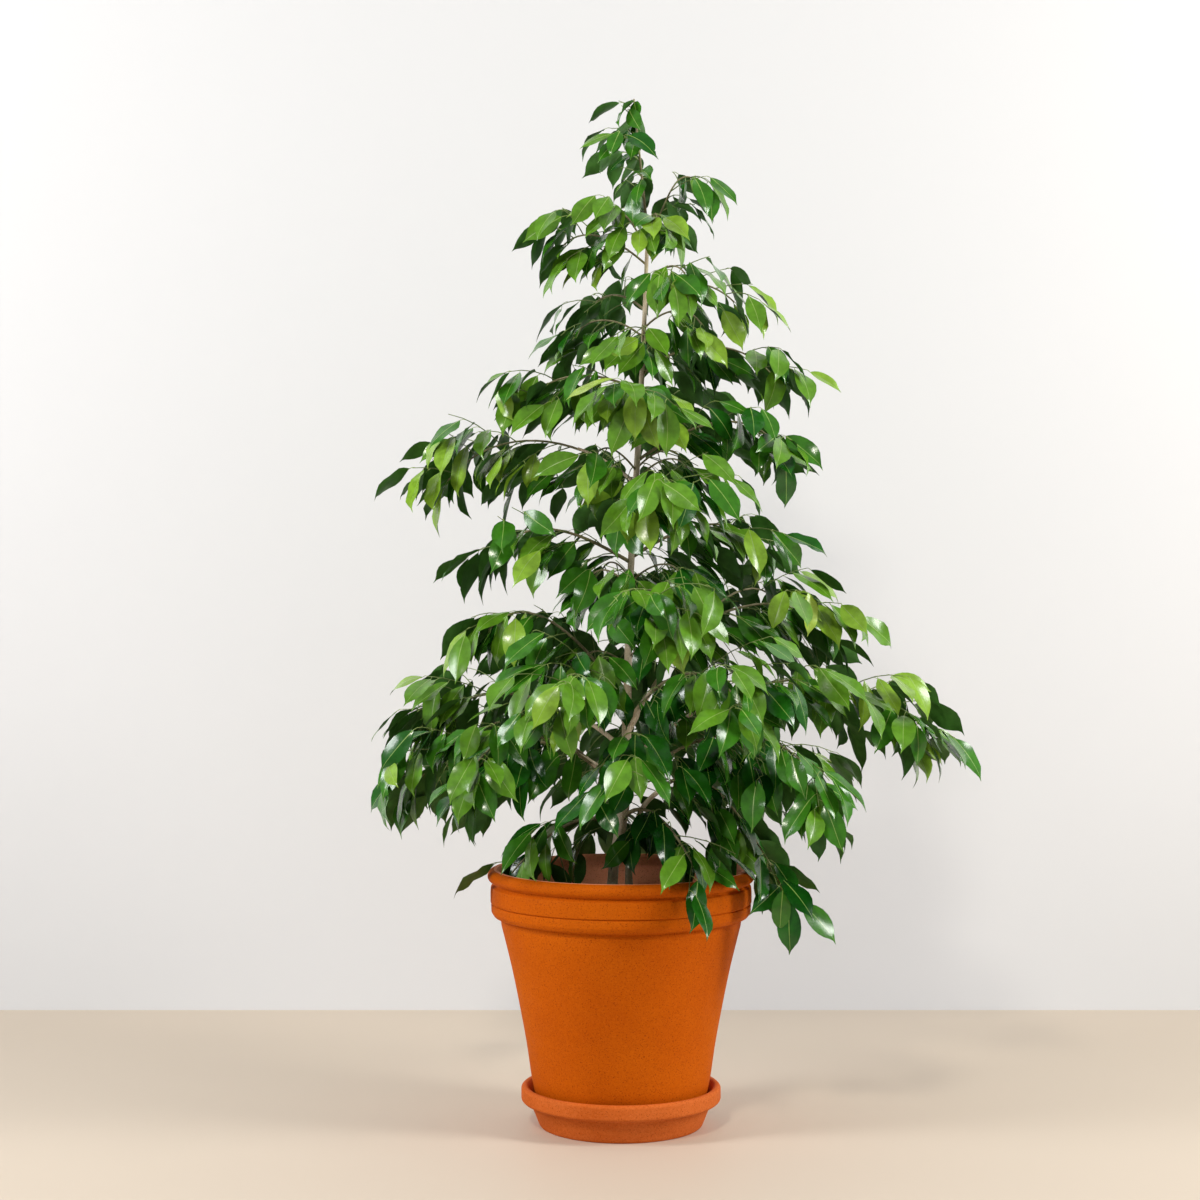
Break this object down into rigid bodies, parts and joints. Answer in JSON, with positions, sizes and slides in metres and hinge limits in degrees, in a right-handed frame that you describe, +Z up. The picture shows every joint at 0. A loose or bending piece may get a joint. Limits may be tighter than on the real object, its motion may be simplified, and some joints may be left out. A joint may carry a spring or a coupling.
{
  "type": "potted weeping fig",
  "caption": "Young weeping fig with drooping boughs of glossy pointed leaves, in a round terracotta pot that stands in its saucer.",
  "frame": {"origin": "centre of the saucer's flat underside, on the pot's axis, at the level of the floor that it stands on", "axes": "+Z straight up; +X to the plant's right and -Y towards the viewer, as the picture shows it"},
  "size_m": [0.7863, 0.6578, 1.3503],
  "materials": {
    "terracotta": "matte",
    "saucer_terracotta": "matte",
    "potting_soil": "matte",
    "bark": "matte",
    "foliage": "satin"
  },
  "bodies": {
    "root": {"saucer": "saucer_terracotta", "pot": "terracotta", "soil": "potting_soil", "trunk": "bark", "second_stem": "bark", "bough_middle_back_left": "bark", "bough_middle_back_right": "bark", "bough_middle_far_left": "bark", "bough_middle_front_left": "bark", "bough_middle_front_right": "bark", "bough_middle_left": "bark", "bough_middle_right": "bark", "bough_upper_left": "bark", "bough_wide_back": "bark", "bough_wide_back_left": "bark", "bough_wide_back_right": "bark", "bough_wide_front": "bark", "bough_wide_front_left": "bark", "bough_wide_front_right": "bark", "bough_wide_left": "bark", "bough_wide_right": "bark", "foliage_crown_back": "foliage", "foliage_crown_front": "foliage", "foliage_crown_left": "foliage", "foliage_crown_right": "foliage", "foliage_high_back": "foliage", "foliage_high_front": "foliage", "foliage_high_left": "foliage", "foliage_high_right": "foliage", "foliage_leader": "foliage", "foliage_low_back": "foliage", "foliage_low_front": "foliage", "foliage_low_left": "foliage", "foliage_low_right": "foliage", "foliage_middle_back_left": "foliage", "foliage_middle_back_right": "foliage", "foliage_middle_far_left": "foliage", "foliage_middle_front_left": "foliage", "foliage_middle_front_right": "foliage", "foliage_middle_left": "foliage", "foliage_middle_right": "foliage", "foliage_tip_left": "foliage", "foliage_tip_right": "foliage", "foliage_top_back": "foliage", "foliage_top_front": "foliage", "foliage_top_left": "foliage", "foliage_top_right": "foliage", "foliage_upper_back": "foliage", "foliage_upper_front": "foliage", "foliage_upper_left": "foliage", "foliage_upper_right": "foliage", "foliage_wide_back": "foliage", "foliage_wide_back_left": "foliage", "foliage_wide_back_right": "foliage", "foliage_wide_front": "foliage", "foliage_wide_front_left": "foliage", "foliage_wide_front_right": "foliage", "foliage_wide_left": "foliage", "foliage_wide_right": "foliage"}
  },
  "joints": []
}
